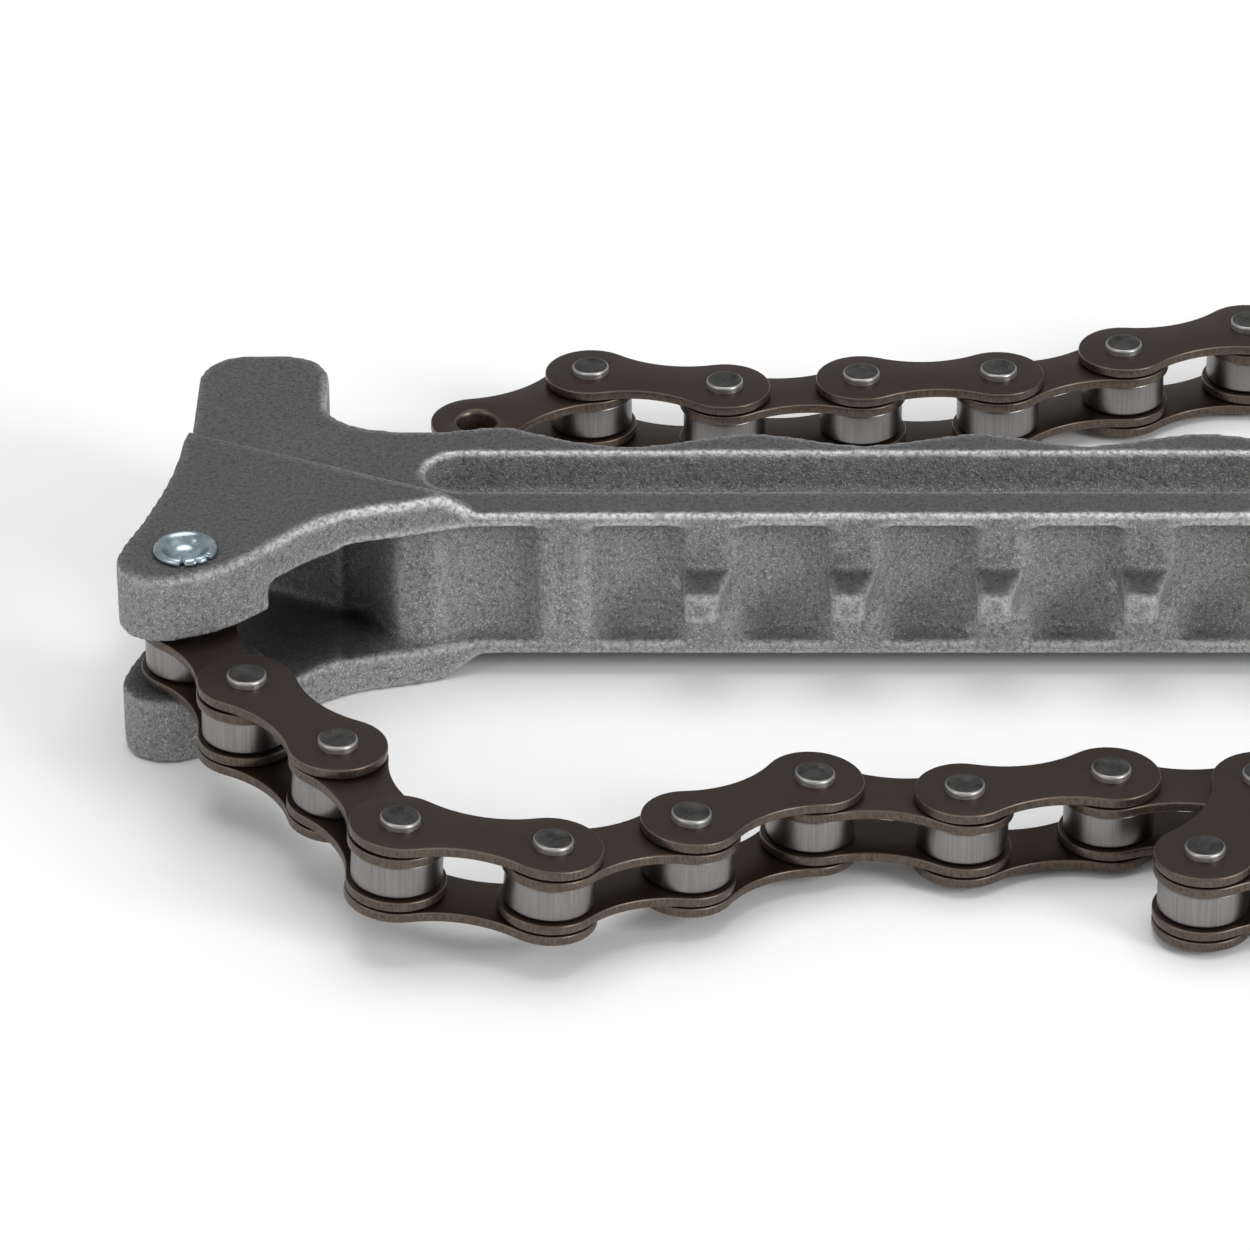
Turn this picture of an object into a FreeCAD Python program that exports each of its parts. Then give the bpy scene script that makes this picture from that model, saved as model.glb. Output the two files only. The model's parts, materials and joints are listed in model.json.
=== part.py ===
import FreeCAD, Part

import math
import os

from FreeCAD import Matrix, Vector

# A chain wrench: a cast handle with a forked head, and a roller chain that hangs from a rivet in the fork.
# Origin: on the surface that the wrench lies on, X = 0 at the rivet's axis, Y = 0 at the handle's near edge.
# +X runs along the handle away from the head, +Y towards the finger grips, +Z up. Millimetres and degrees.

# Chain
PITCH = 12.7                 # from one pin to the next
ROLLER_R = 3.8
INNER_WIDTH = 3.3            # between the inner plates, where a tooth goes
PLATE_T = 0.9
PLATE_LOBE_R = 4.2
PLATE_WAIST = 5.4
PLATE_EDGE_R = 0.15
SIDE_CLEARANCE = 0.15        # between an inner plate and the outer plate beside it
PIN_R = 1.7
PIN_CLEARANCE = 0.1
PIN_PROUD = 0.65
PIN_CHAMFER = 0.3
COLLAR_WALL = 0.65           # the inner plates' drawn collars, which the rollers turn on
COLLAR_GAP = 0.4             # between the two collars' ends
EYE_CHAMFER = 0.35
ROLLER_CLEARANCE = 0.1
ROLLER_SIDE_CLEARANCE = 0.08
ROLLER_CHAMFER = 0.25

# How the chain lies: the heading of each link in plan from the head to the free end, and how it comes down
# from the fork to the surface, as the steps of slope that each of the first links has.
HEADINGS = [
    -64, -50, -64.5, -7.5, 27, 36, -3.5, 14, -3, -115.5,
    3.5, 14.5, 24, 34, 45.5, 61, 82, 103.5, 120.5, 135.5, 150, 164.5,
    180.5, 200.5, 202, 183.5, 187, 167.5, 215.5,
]
SLOPE_STEPS = [0.5, 1.5, 2.5, 3.5, 3.5, 3, 2, 1]

# Casting
HANDLE_HEIGHT = 14.3
HEAD_HEIGHT = 18.4
PLATE_HEAD_T = 3.9           # thickness of the fork's two plates
EAR_GAP = 5.8                # between the two ears that hold the first link
EAR_BOSS_R = 7.0
FLANGE_T = 1.5
RIDGE_SETBACK = 0.1          # of the web's ridges behind the flanges' edge
HOLLOW_DEPTH = 2.0           # of the hollows between the ridges
FIRST_RIDGE_X = 19.45
FIRST_TOOTH_X = 43.9         # the middle of its tip
TOOTH_COUNT = 6
TOOTH_REACH = 4.5            # in front of the handle's near edge
TOOTH_T = 3.0
TOOTH_TIP = 2.85
TOOTH_STEEP_LEAN = 0.2       # how far the side towards the head leans, from base to tip
TOOTH_SLOPE_LEAN = 1.25      # and the side towards the handle's end
TOOTH_ROOT = 1.0             # how far the tooth reaches into the web
POCKET_START_X = 19.75
POCKET_END_GAP = 2.0         # between the pocket and the end boss
POCKET_NEAR_Y = 4.4
POCKET_WIDTH = 6.6
POCKET_DEPTH = 4.2
GRIP_FIRST_X = 48.7
GRIP_PITCH = 19.5
GRIP_COUNT = 4
GRIP_PEAK_Y = 14.6
GRIP_VALLEY_Y = 12.5
HORN_LEFT_X = -1.2
HORN_RIGHT_X = 10.5
HORN_END_Y = 29.0
HORN_CORNER_R = 4.3
HORN_FOOT_Y = 19.0
BOSS_X = 122.5
BOSS_R = 9.0
HANGING_HOLE_R = 3.0

# The head's outline in plan
RIVET_Y = -9.8
CREASE_LEFT = Vector(-1.4, 11.4, 0)
CREASE_RIGHT = Vector(20.8, 0.95, 0)
HEAD_NEAR_EDGE = [
    (21.6, -0.8), (19.2, -1.6), (14.1, -3.0), (10.8, -5.0), (7.6, -8.3), (4.4, -11.7), (-0.2, -14.2),
]
HEAD_TIP = (-4.8, -13.5)
HEAD_LEFT_EDGE = [(-5.9, -10.9), (-5.5, -8.7), (-4.4, -5.3), (-3.1, -0.5), (-2.2, 3.9), (-1.65, 8.7)]
SHOULDER = [(14.3, 15.6), (17.2, 15.1), (21.4, 15.1), (26.6, 15.75), (30.8, 14.05)]
RAMP_TOP_X = 21.6
RAMP_FOOT_X = 24.6
THROAT_WALL_X = 12.4         # where the fork's back wall steps back to the handle's web
THROAT_STEP = 0.6

# The web's wavy edge in plan. The wave is in shares of the pitch, and in the hollows also of their depth.
WEB_START = (16.2, 2.2)
RIDGE_WAVE = [-0.13, 0, 0.13]
HOLLOW_WAVE = [(0.29, 0.74), (0.5, 1), (0.71, 0.74)]

# Ear rivet
RIVET_R = 1.7
RIVET_FIT = 0.02
RIVET_HEAD_R = 2.8
RIVET_HEAD_T = 0.9
RIVET_RIM_RISE = 0.6         # of the flared mouth's crest above the upper ear
RIVET_RIM_T = 0.25
RIVET_CREST_R = 2.45
RIVET_HOLLOW_R = 1.4
RIVET_HOLLOW_DEPTH = 1.1     # below the crest
RIVET_SEAT_CLEARANCE = 0.05
LINK_DROP = 0.2              # the first link rests low in the gap between the ears

# Sizes that follow from these
LINK_COUNT = len(HEADINGS)
MID_Z = HEAD_HEIGHT / 2
EYE_R = PIN_R + PIN_CLEARANCE
COLLAR_R = EYE_R + COLLAR_WALL
INNER_HALF = INNER_WIDTH / 2 + PLATE_T
OUTER_HALF = INNER_HALF + SIDE_CLEARANCE + PLATE_T
PIN_HALF = OUTER_HALF + PIN_PROUD
HANDLE_HALF = HANDLE_HEIGHT / 2
HEAD_HALF = HEAD_HEIGHT / 2
CHANNEL_HALF = HANDLE_HALF - FLANGE_T
THROAT_HALF = HEAD_HALF - PLATE_HEAD_T
HANDLE_MID_Y = GRIP_PEAK_Y / 2
RIDGES_BEFORE_TEETH = round((FIRST_TOOTH_X - FIRST_RIDGE_X) / PITCH)
RIDGE_COUNT = RIDGES_BEFORE_TEETH + TOOTH_COUNT
POCKET_END_X = BOSS_X - BOSS_R - POCKET_END_GAP
FAR = 60.0                   # well outside the casting, for cutting shapes


def points(pairs):
    return [Vector(x, y, 0) for x, y in pairs]


def curve(stops):
    spline = Part.BSplineCurve()
    spline.interpolate(stops)
    return spline.toShape()


def line(start, end):
    return Part.makeLine(start, end)


def arc(start, middle, end):
    return Part.Arc(start, middle, end).toShape()


def prism(edges, low, high):
    """A solid between two heights above the wrench's middle plane, from the edges of its plan."""
    face = Part.Face(Part.Wire(Part.__sortEdges__(edges)))
    solid = face.extrude(Vector(0, 0, high - low))
    solid.translate(Vector(0, 0, MID_Z + low))
    return solid


def polygon(stops):
    return [line(a, b) for a, b in zip(stops, stops[1:] + stops[:1])]


def cylinder(x, y, radius, low, high):
    return Part.makeCylinder(radius, high - low, Vector(x, y, MID_Z + low))


def corner_arc(corner, first, second, radius):
    """The arc that rounds a square corner, given the directions in which its two sides leave it."""
    start = corner + first * radius
    end = corner + second * radius
    centre = corner + (first + second) * radius
    middle = centre - (first + second) * (radius / math.sqrt(2))
    return start, middle, end


# Casting


def grip_stops():
    """The wavy back edge with a valley for each finger, from the neck to the end boss."""
    stops = []
    for n in range(GRIP_COUNT):
        peak_x = GRIP_FIRST_X + n * GRIP_PITCH
        stops.append(Vector(peak_x - GRIP_PITCH / 2, GRIP_VALLEY_Y, 0))
        stops.append(Vector(peak_x, GRIP_PEAK_Y, 0))
    return stops


def handle_block():
    """The handle bar with the solid corner of the head and the horn, all at the handle's height."""
    right, left = Vector(1, 0, 0), Vector(-1, 0, 0)
    down = Vector(0, -1, 0)
    far_left = Vector(HORN_LEFT_X, HORN_END_Y, 0)
    far_right = Vector(HORN_RIGHT_X, HORN_END_Y, 0)
    a, b, c = corner_arc(far_left, down, right, HORN_CORNER_R)
    d, e, f = corner_arc(far_right, left, down, HORN_CORNER_R)
    horn_root = Vector(HORN_LEFT_X, CREASE_LEFT.y, 0)
    foot = Vector(HORN_RIGHT_X, HORN_FOOT_Y, 0)
    back = [foot] + points(SHOULDER) + grip_stops()
    last = Vector(BOSS_X, GRIP_PEAK_Y, 0)
    near_end = Vector(BOSS_X, 0, 0)
    near_start = Vector(RAMP_TOP_X, 0, 0)
    edges = [
        line(horn_root, a),
        arc(a, b, c),
        line(c, d),
        arc(d, e, f),
        line(f, foot),
        curve(back),
        line(back[-1], last),
        line(last, near_end),
        line(near_end, near_start),
        line(near_start, CREASE_RIGHT),
        line(CREASE_RIGHT, CREASE_LEFT),
        line(CREASE_LEFT, horn_root),
    ]
    return prism(edges, -HANDLE_HALF, HANDLE_HALF)


def head_plan():
    """The edges of the fork's outline, with room behind the crease for the slope down to the handle."""
    along = (CREASE_RIGHT - CREASE_LEFT).normalize()
    behind = Vector(-along.y, along.x, 0)
    step = HEAD_HALF - HANDLE_HALF
    back_left = CREASE_LEFT + behind * step
    back_right = CREASE_RIGHT + behind * step
    ramp_near = Vector(RAMP_FOOT_X, 0, 0)
    ramp_far = Vector(RAMP_FOOT_X, CREASE_RIGHT.y, 0)
    near = points(HEAD_NEAR_EDGE)
    left = points(HEAD_LEFT_EDGE)
    tip = Vector(HEAD_TIP[0], HEAD_TIP[1], 0)
    return [
        curve([ramp_near] + near),
        arc(near[-1], tip, left[0]),
        curve(left + [CREASE_LEFT]),
        line(CREASE_LEFT, back_left),
        line(back_left, back_right),
        line(back_right, ramp_far),
        line(ramp_far, ramp_near),
    ]


def head_envelope():
    """Slopes the head's top and bottom down to the handle's height, at the ramp and behind the crease."""
    ramp = [
        Vector(-FAR, 0, -HEAD_HALF), Vector(RAMP_TOP_X, 0, -HEAD_HALF), Vector(RAMP_FOOT_X, 0, -HANDLE_HALF),
        Vector(RAMP_FOOT_X, 0, HANDLE_HALF), Vector(RAMP_TOP_X, 0, HEAD_HALF), Vector(-FAR, 0, HEAD_HALF),
    ]
    face = Part.Face(Part.Wire(polygon(ramp)))
    face.translate(Vector(0, -FAR, MID_Z))
    ramp_solid = face.extrude(Vector(0, 2 * FAR, 0))
    step = HEAD_HALF - HANDLE_HALF
    slope = [
        Vector(0, -FAR, -HEAD_HALF), Vector(0, 0, -HEAD_HALF), Vector(0, step, -HANDLE_HALF),
        Vector(0, step, HANDLE_HALF), Vector(0, 0, HEAD_HALF), Vector(0, -FAR, HEAD_HALF),
    ]
    face = Part.Face(Part.Wire(polygon(slope)))
    face.translate(Vector(-FAR, 0, 0))
    slope_solid = face.extrude(Vector(2 * FAR, 0, 0))
    along = CREASE_RIGHT - CREASE_LEFT
    slope_solid.rotate(Vector(0, 0, 0), Vector(0, 0, 1), math.degrees(math.atan2(along.y, along.x)))
    slope_solid.translate(CREASE_LEFT + Vector(0, 0, MID_Z))
    return ramp_solid.common(slope_solid)


def throat_wall_y(x):
    """Where the fork's back wall stands, right below the crease."""
    along = CREASE_RIGHT - CREASE_LEFT
    return CREASE_LEFT.y + (x - CREASE_LEFT.x) * along.y / along.x


def throat_cut():
    """The fork's throat, open between its two plates."""
    plan = polygon([
        Vector(-FAR, -FAR, 0),
        Vector(THROAT_WALL_X, -FAR, 0),
        Vector(THROAT_WALL_X, throat_wall_y(THROAT_WALL_X), 0),
        Vector(-FAR, throat_wall_y(-FAR), 0),
    ])
    return prism(plan, -THROAT_HALF, THROAT_HALF)


def web_cut():
    """What is open in front of the web, from the throat to the last ridge."""
    wall = Vector(THROAT_WALL_X, throat_wall_y(THROAT_WALL_X) + THROAT_STEP, 0)
    stops = [wall, Vector(WEB_START[0], WEB_START[1], 0)]
    for n in range(RIDGE_COUNT):
        ridge_x = FIRST_RIDGE_X + n * PITCH
        stops += [Vector(ridge_x + share * PITCH, RIDGE_SETBACK, 0) for share in RIDGE_WAVE]
        if n < RIDGE_COUNT - 1:
            for share, depth in HOLLOW_WAVE:
                stops.append(Vector(ridge_x + share * PITCH, RIDGE_SETBACK + depth * HOLLOW_DEPTH, 0))
    near_wall = Vector(THROAT_WALL_X, -FAR, 0)
    near_end = Vector(stops[-1].x, -FAR, 0)
    edges = [curve(stops), line(stops[-1], near_end), line(near_end, near_wall), line(near_wall, wall)]
    return prism(edges, -CHANNEL_HALF, CHANNEL_HALF)


def pocket(low, high):
    """The long round-ended recess in the handle's top or bottom face."""
    radius = POCKET_WIDTH / 2
    start = Vector(POCKET_START_X + radius, POCKET_NEAR_Y, 0)
    end = Vector(POCKET_END_X - radius, POCKET_NEAR_Y, 0)
    across = Vector(0, POCKET_WIDTH, 0)
    side = Vector(radius, radius, 0)
    edges = [
        line(start, end),
        arc(end, end + side, end + across),
        line(end + across, start + across),
        arc(start + across, start + Vector(-radius, radius, 0), start),
    ]
    return prism(edges, low, high)


def tooth(x):
    """One ratchet tooth with a steep side towards the head and a sloped side towards the handle's end."""
    tip_left = x - TOOTH_TIP / 2
    tip_right = x + TOOTH_TIP / 2
    left = tip_left - TOOTH_STEEP_LEAN
    right = tip_right + TOOTH_SLOPE_LEAN
    root = RIDGE_SETBACK + TOOTH_ROOT
    stops = [
        Vector(left, root, 0),
        Vector(left, 0, 0),
        Vector(tip_left, -TOOTH_REACH, 0),
        Vector(tip_right, -TOOTH_REACH, 0),
        Vector(right, 0, 0),
        Vector(right, root, 0),
    ]
    return prism(polygon(stops), -TOOTH_T / 2, TOOTH_T / 2)


def ears(head):
    """The thick ends of the fork's two plates, which close on the chain's first link."""
    gap = EAR_GAP / 2
    discs = []
    for low, high in ((gap, THROAT_HALF), (-THROAT_HALF, -gap)):
        discs.append(cylinder(0, RIVET_Y, EAR_BOSS_R, low, high).common(head))
    return discs


def casting():
    head = prism(head_plan(), -HEAD_HALF, HEAD_HALF).common(head_envelope())
    boss = cylinder(BOSS_X, HANDLE_MID_Y, BOSS_R, -HEAD_HALF, HEAD_HALF)
    solid = handle_block().fuse([head, boss]).cut(throat_cut().fuse(web_cut()))
    solid = solid.cut([
        pocket(HANDLE_HALF - POCKET_DEPTH, HANDLE_HALF),
        pocket(-HANDLE_HALF, -HANDLE_HALF + POCKET_DEPTH),
        cylinder(BOSS_X, HANDLE_MID_Y, HANGING_HOLE_R, -HEAD_HALF, HEAD_HALF),
    ])
    teeth = [tooth(FIRST_TOOTH_X + n * PITCH) for n in range(TOOTH_COUNT)]
    solid = solid.fuse(teeth + ears(head))
    seat_r = RIVET_HEAD_R + RIVET_SEAT_CLEARANCE
    solid = solid.cut([
        cylinder(0, RIVET_Y, RIVET_R + RIVET_FIT, -HEAD_HALF, HEAD_HALF),
        cylinder(0, RIVET_Y, seat_r, -HEAD_HALF, -HEAD_HALF + RIVET_HEAD_T),
    ])
    return solid.removeSplitter()


def ear_rivet():
    """A hollow-ended rivet: its head is flush in the lower ear, and its mouth is flared over the upper one."""
    top = HEAD_HALF
    crest = top + RIVET_RIM_RISE
    profile = [
        (0, -top), (RIVET_HEAD_R, -top), (RIVET_HEAD_R, -top + RIVET_HEAD_T), (RIVET_R, -top + RIVET_HEAD_T),
        (RIVET_R, top), (RIVET_HEAD_R, top), (RIVET_HEAD_R, top + RIVET_RIM_T), (RIVET_CREST_R, crest),
        (RIVET_HOLLOW_R, top), (RIVET_HOLLOW_R, crest - RIVET_HOLLOW_DEPTH), (0, crest - RIVET_HOLLOW_DEPTH),
    ]
    stops = [Vector(x, 0, z) for x, z in profile]
    face = Part.Face(Part.Wire(polygon(stops)))
    solid = face.revolve(Vector(0, 0, 0), Vector(0, 0, 1), 360)
    solid.translate(Vector(0, RIVET_Y, MID_Z))
    return solid


# Chain links, each made with its first pin at the origin, its second along +X and its middle plane at Z = 0


def plate_outline():
    """The figure-eight outline of a chain plate: two round lobes joined by hollow flanks."""
    half_pitch = PITCH / 2
    half_waist = PLATE_WAIST / 2
    flank_r = (half_pitch ** 2 + half_waist ** 2 - PLATE_LOBE_R ** 2) / (2 * (PLATE_LOBE_R - half_waist))
    flank_y = half_waist + flank_r
    turn = math.atan2(flank_y, half_pitch)
    lobe_x = PLATE_LOBE_R * math.cos(turn)
    lobe_y = PLATE_LOBE_R * math.sin(turn)
    first = Vector(lobe_x, lobe_y, 0)
    second = Vector(PITCH - lobe_x, lobe_y, 0)
    flip = Vector(0, 2 * lobe_y, 0)
    return [
        arc(first, Vector(half_pitch, half_waist, 0), second),
        arc(second, Vector(PITCH + PLATE_LOBE_R, 0, 0), second - flip),
        arc(second - flip, Vector(half_pitch, -half_waist, 0), first - flip),
        arc(first - flip, Vector(-PLATE_LOBE_R, 0, 0), first),
    ]


def rounded(solid):
    """Rounds the edges of a plate's two flat faces."""
    flat = [edge for edge in solid.Edges if abs(edge.BoundBox.ZLength) < PLATE_T / 2]
    return solid.makeFillet(PLATE_EDGE_R, flat)


def plate(low, hole_r):
    """A chain plate with its edges lightly rounded by tumbling, and a hole at each end."""
    face = Part.Face(Part.Wire(plate_outline()))
    solid = rounded(face.extrude(Vector(0, 0, PLATE_T)))
    solid.translate(Vector(0, 0, low))
    for x in (0, PITCH):
        solid = solid.cut(Part.makeCylinder(hole_r, PLATE_T, Vector(x, 0, low)))
    return solid


def inner_plate(side):
    """An inner plate, with a collar drawn inwards round each hole for its roller."""
    low = INNER_WIDTH / 2
    solid = plate(low, EYE_R)
    collar_end = COLLAR_GAP / 2
    mouth_z = INNER_HALF - EYE_CHAMFER
    for x in (0, PITCH):
        collar = Part.makeCylinder(COLLAR_R, low - collar_end + PLATE_T / 2, Vector(x, 0, collar_end))
        solid = solid.fuse(collar)
    for x in (0, PITCH):
        solid = solid.cut(Part.makeCylinder(EYE_R, 2 * INNER_HALF, Vector(x, 0, -INNER_HALF)))
        solid = solid.cut(Part.makeCone(EYE_R, EYE_R + EYE_CHAMFER, EYE_CHAMFER, Vector(x, 0, mouth_z)))
    if side < 0:
        solid = solid.mirror(Vector(0, 0, 0), Vector(0, 0, 1))
    return solid


def outer_plate(side):
    low = INNER_HALF + SIDE_CLEARANCE
    return plate(low if side > 0 else -low - PLATE_T, PIN_R)


def roller(x):
    """A roller that turns on the two collars."""
    height = INNER_WIDTH - 2 * ROLLER_SIDE_CLEARANCE
    base = Vector(x, 0, -height / 2)
    solid = Part.makeCylinder(ROLLER_R, height, base)
    ends = [edge for edge in solid.Edges if abs(edge.BoundBox.ZLength) < height / 2]
    solid = solid.makeChamfer(ROLLER_CHAMFER, ends)
    return solid.cut(Part.makeCylinder(COLLAR_R + ROLLER_CLEARANCE, height, base))


def pin(x):
    """A pin riveted in two outer plates, with a bevelled rim at each end."""
    solid = Part.makeCylinder(PIN_R, 2 * PIN_HALF, Vector(x, 0, -PIN_HALF))
    ends = [edge for edge in solid.Edges if abs(edge.BoundBox.ZLength) < PIN_HALF]
    return solid.makeChamfer(PIN_CHAMFER, ends)


def slopes():
    """Each link's slope towards +X in degrees, so that the level part of the chain lies on the surface."""
    drop = MID_Z - LINK_DROP - PIN_HALF
    share = SLOPE_STEPS + [0] * (LINK_COUNT - len(SLOPE_STEPS))
    run = sum(PITCH * math.cos(math.radians(h)) * s for h, s in zip(HEADINGS, share))
    return [math.degrees(math.asin(drop / run * s)) for s in share]


def link_places():
    """Where each link lies: its first pin's centre, its direction, and its plates' normal."""
    places = []
    pivot = Vector(0, RIVET_Y, MID_Z - LINK_DROP)
    for heading, slope in zip(HEADINGS, slopes()):
        h, s = math.radians(heading), math.radians(slope)
        along = Vector(math.cos(h) * math.cos(s), math.sin(h), -math.cos(h) * math.sin(s))
        normal = Vector(math.sin(s), 0, math.cos(s))
        places.append((pivot, along, normal))
        pivot = pivot + along * PITCH
    return places


def hinges():
    """Each joint's centre and axis. The first turns about the rivet, the others about an outer link's pin."""
    places = link_places()
    found = [(places[0][0], Vector(0, 0, 1))]
    for n in range(1, LINK_COUNT):
        outer = places[n] if n % 2 else places[n - 1]
        found.append((places[n][0], outer[2]))
    return found


def placed(shape, place):
    """A link's piece, moved from where it was made to where its link lies."""
    pivot, along, normal = place
    across = normal.cross(along)
    matrix = Matrix(
        along.x, across.x, normal.x, pivot.x,
        along.y, across.y, normal.y, pivot.y,
        along.z, across.z, normal.z, pivot.z,
        0, 0, 0, 1,
    )
    moved = shape.copy()
    moved.transformShape(matrix, True)
    return moved


def pair(first, second):
    return Part.makeCompound([first, second])


def pieces():
    """Every node's name and shape."""
    found = {"handle_casting": casting(), "ear_rivet": ear_rivet()}
    inner_plates = pair(inner_plate(1), inner_plate(-1))
    rollers = pair(roller(0), roller(PITCH))
    outer_plates = pair(outer_plate(1), outer_plate(-1))
    pins = pair(pin(0), pin(PITCH))
    for n, place in enumerate(link_places()):
        name = f"link_{n + 1:02d}"
        if n % 2:
            found[name + "_outer_plates"] = placed(outer_plates, place)
            found[name + "_pins"] = placed(pins, place)
        else:
            found[name + "_inner_plates"] = placed(inner_plates, place)
            found[name + "_rollers"] = placed(rollers, place)
    return found


def main():
    os.makedirs("parts", exist_ok=True)
    for name, shape in pieces().items():
        shape.exportStep(f"parts/{name}.step")


main()
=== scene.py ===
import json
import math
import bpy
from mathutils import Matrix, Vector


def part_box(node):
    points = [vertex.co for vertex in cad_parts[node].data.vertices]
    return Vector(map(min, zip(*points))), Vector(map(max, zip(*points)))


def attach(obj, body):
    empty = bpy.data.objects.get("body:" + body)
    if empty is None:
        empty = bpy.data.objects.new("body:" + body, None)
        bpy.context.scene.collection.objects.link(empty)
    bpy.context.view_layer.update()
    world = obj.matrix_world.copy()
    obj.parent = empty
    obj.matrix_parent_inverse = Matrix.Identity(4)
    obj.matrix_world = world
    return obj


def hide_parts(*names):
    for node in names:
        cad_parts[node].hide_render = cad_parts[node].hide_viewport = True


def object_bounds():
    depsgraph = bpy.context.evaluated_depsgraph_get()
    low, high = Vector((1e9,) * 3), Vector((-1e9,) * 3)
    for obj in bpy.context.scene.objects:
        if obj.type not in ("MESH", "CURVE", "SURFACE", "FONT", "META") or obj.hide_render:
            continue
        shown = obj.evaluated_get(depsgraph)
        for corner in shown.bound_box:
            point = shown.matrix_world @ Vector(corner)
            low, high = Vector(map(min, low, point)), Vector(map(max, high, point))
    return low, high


bl_info = {
    "name": "Chain Filter Wrench",
    "version": (1, 0, 0),
    "blender": (4, 5, 0),
    "location": "View3D > Sidebar > Wrench",
    "description": "Dresses a chain filter wrench: grey casting, zinc rivet and brown roller chain",
    "category": "Object",
}

import bmesh
import bpy
from bpy.props import FloatProperty, FloatVectorProperty, IntProperty, PointerProperty
from mathutils import Matrix, Vector, noise

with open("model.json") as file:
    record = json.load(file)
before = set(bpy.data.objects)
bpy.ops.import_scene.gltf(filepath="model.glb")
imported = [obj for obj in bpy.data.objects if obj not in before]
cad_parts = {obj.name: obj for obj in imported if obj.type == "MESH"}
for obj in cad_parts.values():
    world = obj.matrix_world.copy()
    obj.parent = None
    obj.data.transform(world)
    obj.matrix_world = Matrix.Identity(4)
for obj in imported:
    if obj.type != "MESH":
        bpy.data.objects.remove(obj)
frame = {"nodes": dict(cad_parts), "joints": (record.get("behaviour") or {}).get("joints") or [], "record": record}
CAD_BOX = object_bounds()
JOINTS = frame["joints"]
MM = 0.001


# Where the links lie, from the frame

LEVEL_LIMIT = 1e-6  # a link whose direction rises by less than this lies level


def link_count():
    return len(JOINTS)


def link_name(n):
    return f"link_{n + 1:02d}"


def link_pivot(n):
    return Vector(JOINTS[n]["pos_m"])


def chain_pitch():
    return (link_pivot(2) - link_pivot(1)).length


def end_pin():
    """The centre of the last link's open eye, from the mount that names it."""
    mounts = {m["name"]: m for m in frame["record"]["mounts"]}
    return Vector(mounts["chain_end_eye"]["pos_m"])


def link_matrix(n):
    """The place of a link: its first pin, its direction, and the upward normal of its plates."""
    pivot = link_pivot(n)
    after = link_pivot(n + 1) if n + 1 < link_count() else end_pin()
    along = (after - pivot).normalized()
    normal = Vector((-along.z, 0, along.x)) if abs(along.z) > LEVEL_LIMIT else Vector((0, 0, 1))
    if normal.z < 0:
        normal.negate()
    normal.normalize()
    across = normal.cross(along)
    turn = Matrix((along, across, normal)).transposed().to_4x4()
    return Matrix.Translation(pivot) @ turn


# Settings that a user would change


class ChainSettings(bpy.types.PropertyGroup):
    roller_radius: FloatProperty(
        name="Roller radius", description="Outer radius of a roller", default=3.8 * MM, unit="LENGTH")
    inner_width: FloatProperty(
        name="Inner width", description="Gap between the inner plates", default=3.3 * MM, unit="LENGTH")
    plate_thickness: FloatProperty(
        name="Plate thickness", description="Thickness of every plate", default=0.9 * MM, unit="LENGTH")
    lobe_radius: FloatProperty(
        name="Lobe radius", description="Radius of a plate's round end", default=4.2 * MM, unit="LENGTH")
    waist: FloatProperty(
        name="Waist", description="Width of a plate at its middle", default=5.4 * MM, unit="LENGTH")
    side_gap: FloatProperty(
        name="Side gap", description="Gap between an inner and an outer plate",
        default=0.15 * MM, unit="LENGTH")
    pin_radius: FloatProperty(
        name="Pin radius", description="Radius of a pin", default=1.7 * MM, unit="LENGTH")
    pin_proud: FloatProperty(
        name="Pin end", description="How far a pin stands out of its plate", default=0.65 * MM, unit="LENGTH")
    bore_gap: FloatProperty(
        name="Bore gap", description="Running gap round a pin", default=0.1 * MM, unit="LENGTH")
    collar_wall: FloatProperty(
        name="Collar wall", description="Wall of an inner plate's collar", default=0.65 * MM, unit="LENGTH")
    edge_radius: FloatProperty(
        name="Plate edge", description="Rounding of a plate's edges", default=0.17 * MM, unit="LENGTH")
    arc_steps: IntProperty(
        name="Arc steps", description="Segments round a plate's lobe", default=26, min=8)


class CastingSettings(bpy.types.PropertyGroup):
    voxel: FloatProperty(
        name="Voxel", description="Size of the casting's surface mesh", default=0.38 * MM, unit="LENGTH")
    soften: IntProperty(
        name="Soften", description="How often the edges are smoothed", default=3, min=0)
    lump: FloatProperty(
        name="Lumps", description="Height of the cast surface's slow waviness",
        default=0.06 * MM, unit="LENGTH")


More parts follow.
